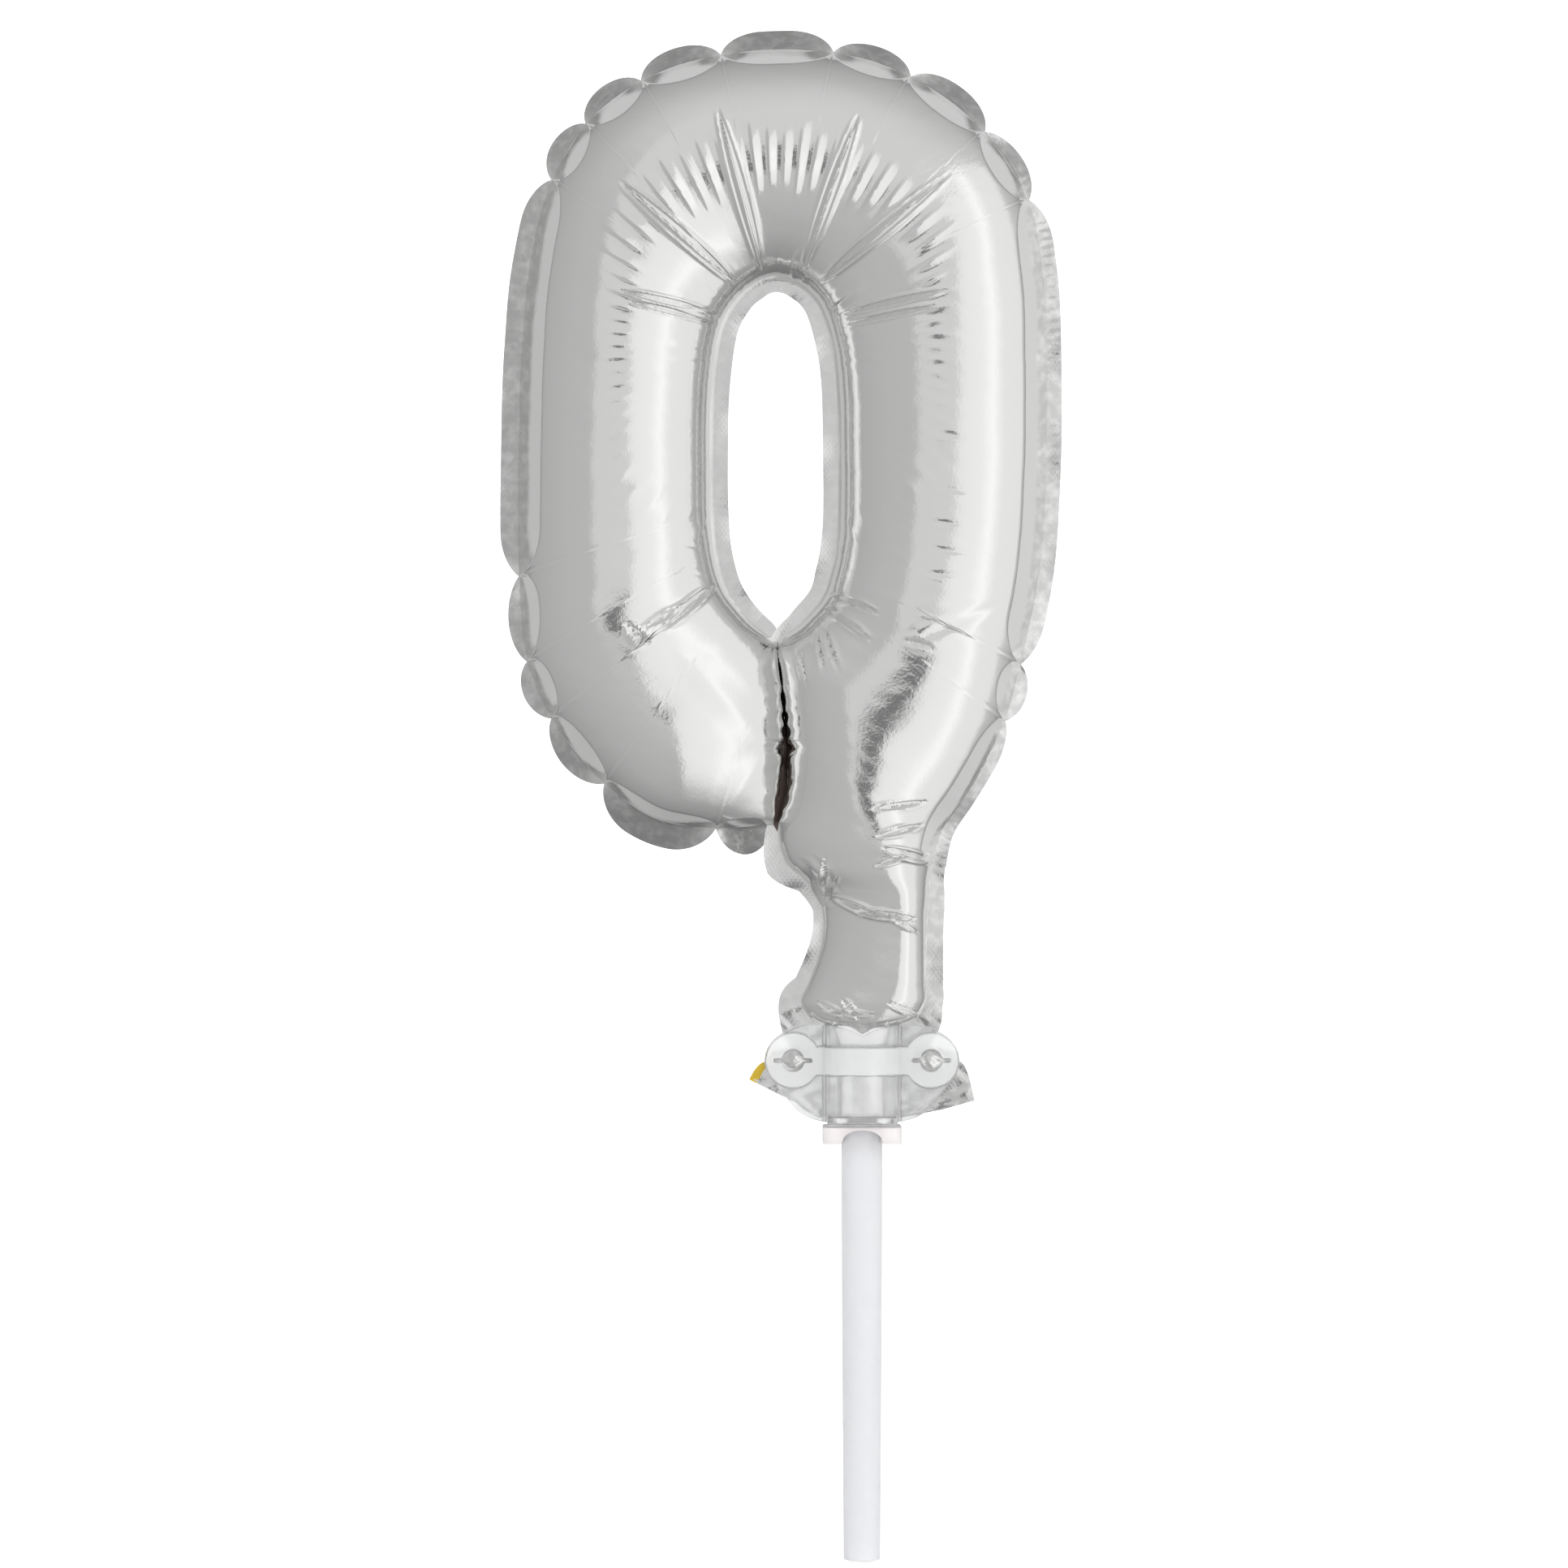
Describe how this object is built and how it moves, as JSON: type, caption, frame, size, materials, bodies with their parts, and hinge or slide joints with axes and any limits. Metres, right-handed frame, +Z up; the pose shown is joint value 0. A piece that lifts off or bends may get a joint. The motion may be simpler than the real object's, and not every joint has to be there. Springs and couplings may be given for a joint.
{
  "type": "foil balloon pick",
  "caption": "Ring-shaped silver foil balloon with a side neck, gripped by a clear hinged snap clip whose collar plugs onto a hollow frosted stick.",
  "frame": {"origin": "centre of the stick's lower end, the end that is pushed into the cake", "axes": "+Z up along the stick, -Y the front with the clip's snap holes, +X to the right seen from the front"},
  "size_m": [0.0692, 0.023, 0.1888],
  "materials": {
    "foil": "bright metallised film, almost a mirror, with heat-seal embossing along its edges",
    "valve_film": "thin clear film",
    "clear_plastic": "clear moulded polypropylene, slightly milky",
    "frosted_plastic": "frosted translucent extruded tube"
  },
  "bodies": {
    "stick": {"stick": "frosted_plastic"},
    "topper": {"front_foil": "foil", "back_foil": "foil", "valve_front_film": "valve_film", "valve_back_film": "valve_film", "clip_back": "clear_plastic", "living_hinge": "clear_plastic"},
    "clip_flap": {"clip_front": "clear_plastic"}
  },
  "joints": [
    {"name": "topper_slide", "type": "slide", "parent": "stick", "child": "topper", "axis": [0, 0, 1], "range_m": [0, 0.016]},
    {"name": "clip_hinge", "type": "hinge", "parent": "topper", "child": "clip_flap", "pos_m": [0, -0.00495, 0.05365], "axis": [1, 0, 0], "range_deg": [0, 170]}
  ]
}
